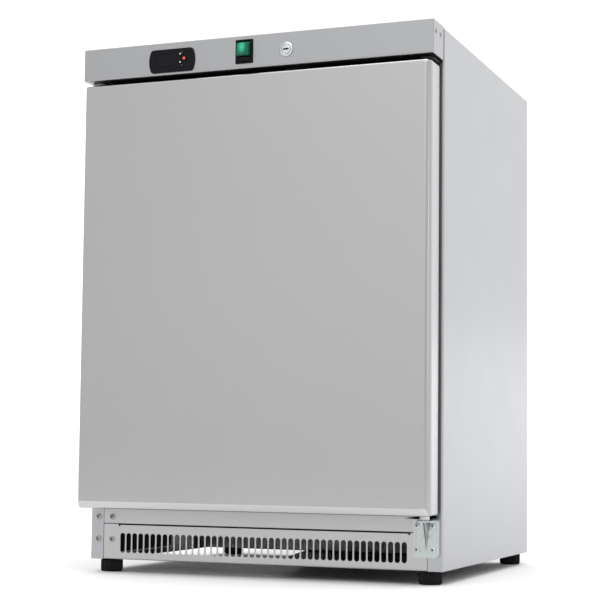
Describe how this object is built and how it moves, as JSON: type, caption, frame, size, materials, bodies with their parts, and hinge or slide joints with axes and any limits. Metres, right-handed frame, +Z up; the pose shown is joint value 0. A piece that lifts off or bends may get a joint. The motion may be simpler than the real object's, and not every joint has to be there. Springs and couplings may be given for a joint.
{
  "type": "undercounter refrigerator",
  "caption": "Steel undercounter refrigerator with a flat hinged door, control strip above it, slotted plinth grille, levelling feet and a rear condenser.",
  "frame": {"origin": "bottom centre of the bounding box, on the floor under the feet", "axes": "+Z up, the door and control strip face -Y, +X to the user's right"},
  "size_m": [0.6, 0.61, 0.855],
  "materials": {
    "grey_steel": "satin light grey coating",
    "stainless": "finely brushed stainless steel",
    "galvanised": "zinc-coated sheet",
    "foam": "rigid polyurethane foam",
    "white_plastic": "smooth moulded",
    "black_plastic": "fine-grained moulded",
    "key_plastic": "soft-touch",
    "green_lens": "translucent, lit from inside",
    "display_lens": "dark tinted window",
    "zinc": "bright zinc plated",
    "gasket": "soft matt",
    "coated_wire": "plastic coated wire",
    "evaporator": "plain mill finish",
    "motor": "zinc-coated can",
    "compressor_shell": "black gloss paint on steel",
    "black_tube": "black paint",
    "copper": "bare copper"
  },
  "bodies": {
    "cabinet": {"left_side_panel": "grey_steel", "right_side_panel": "grey_steel", "top_panel": "grey_steel", "front_frame": "grey_steel", "control_fascia": "stainless", "front_rail": "stainless", "front_grille": "stainless", "temperature_probe": "stainless", "back_panel": "galvanised", "base_pan": "galvanised", "base_frame": "galvanised", "compressor_deck": "galvanised", "foam_insulation": "foam", "inner_liner": "white_plastic", "shelf_runner_left": "white_plastic", "shelf_runner_right": "white_plastic", "evaporator_cover": "white_plastic", "drip_tray": "white_plastic", "hinge_washer": "white_plastic", "controller_housing": "black_plastic", "switch_housing": "black_plastic", "relay_box": "black_plastic", "cable_gland": "black_plastic", "display_lens": "display_lens", "lower_hinge_bracket": "zinc", "upper_hinge_bracket": "zinc", "lock_barrel": "zinc", "hinge_screw_1": "zinc", "hinge_screw_2": "zinc", "hinge_screw_3": "zinc", "hinge_screw_4": "zinc", "blanking_screw_1": "zinc", "blanking_screw_2": "zinc", "blanking_screw_3": "zinc", "blanking_screw_4": "zinc", "wire_shelf_1": "coated_wire", "wire_shelf_2": "coated_wire", "wire_shelf_3": "coated_wire", "evaporator_plate": "evaporator", "fan_motor": "motor", "compressor": "compressor_shell", "condenser_coil": "black_tube", "filter_drier": "copper"},
    "door": {"door_skin": "stainless", "door_foam": "foam", "door_liner": "white_plastic", "door_gasket": "gasket", "hinge_bush_lower": "white_plastic", "hinge_bush_upper": "white_plastic"},
    "lock": {"lock_plug": "zinc", "lock_cam": "zinc"},
    "rocker": {"switch_rocker": "green_lens"},
    "up_key": {"key_up": "key_plastic"},
    "set_key": {"key_set": "key_plastic"},
    "down_key": {"key_down": "key_plastic"},
    "fan": {"fan_blade": "black_plastic"},
    "front_left_foot": {"foot_front_left": "black_plastic"},
    "rear_left_foot": {"foot_rear_left": "black_plastic"},
    "front_right_foot": {"foot_front_right": "black_plastic"},
    "rear_right_foot": {"foot_rear_right": "black_plastic"}
  },
  "joints": [
    {"name": "door_hinge", "type": "hinge", "parent": "cabinet", "child": "door", "pos_m": [0.2807, -0.27, 0.45], "axis": [0, 0, 1], "range_deg": [0, 115]},
    {"name": "lock_turn", "type": "hinge", "parent": "cabinet", "child": "lock", "pos_m": [0.0595, -0.271, 0.8266], "axis": [0, 1, 0], "range_deg": [0, 90]},
    {"name": "power_rocker", "type": "hinge", "parent": "cabinet", "child": "rocker", "pos_m": [-0.012, -0.29, 0.8288], "axis": [-1, 0, 0], "range_deg": [0, 24]},
    {"name": "up_key_press", "type": "slide", "parent": "cabinet", "child": "up_key", "axis": [0, 1, 0], "range_m": [0, 0.0008], "stiffness_N_per_m": 500, "springref_m": -0.0004},
    {"name": "set_key_press", "type": "slide", "parent": "cabinet", "child": "set_key", "axis": [0, 1, 0], "range_m": [0, 0.0008], "stiffness_N_per_m": 500, "springref_m": -0.0004},
    {"name": "down_key_press", "type": "slide", "parent": "cabinet", "child": "down_key", "axis": [0, 1, 0], "range_m": [0, 0.0008], "stiffness_N_per_m": 500, "springref_m": -0.0004},
    {"name": "fan_spin", "type": "hinge", "parent": "cabinet", "child": "fan", "pos_m": [0, 0.203, 0.64], "axis": [0, -1, 0], "continuous": true},
    {"name": "front_left_foot_level", "type": "slide", "parent": "cabinet", "child": "front_left_foot", "axis": [0, 0, -1], "range_m": [0, 0.012]},
    {"name": "rear_left_foot_level", "type": "slide", "parent": "cabinet", "child": "rear_left_foot", "axis": [0, 0, -1], "range_m": [0, 0.012]},
    {"name": "front_right_foot_level", "type": "slide", "parent": "cabinet", "child": "front_right_foot", "axis": [0, 0, -1], "range_m": [0, 0.012]},
    {"name": "rear_right_foot_level", "type": "slide", "parent": "cabinet", "child": "rear_right_foot", "axis": [0, 0, -1], "range_m": [0, 0.012]}
  ]
}
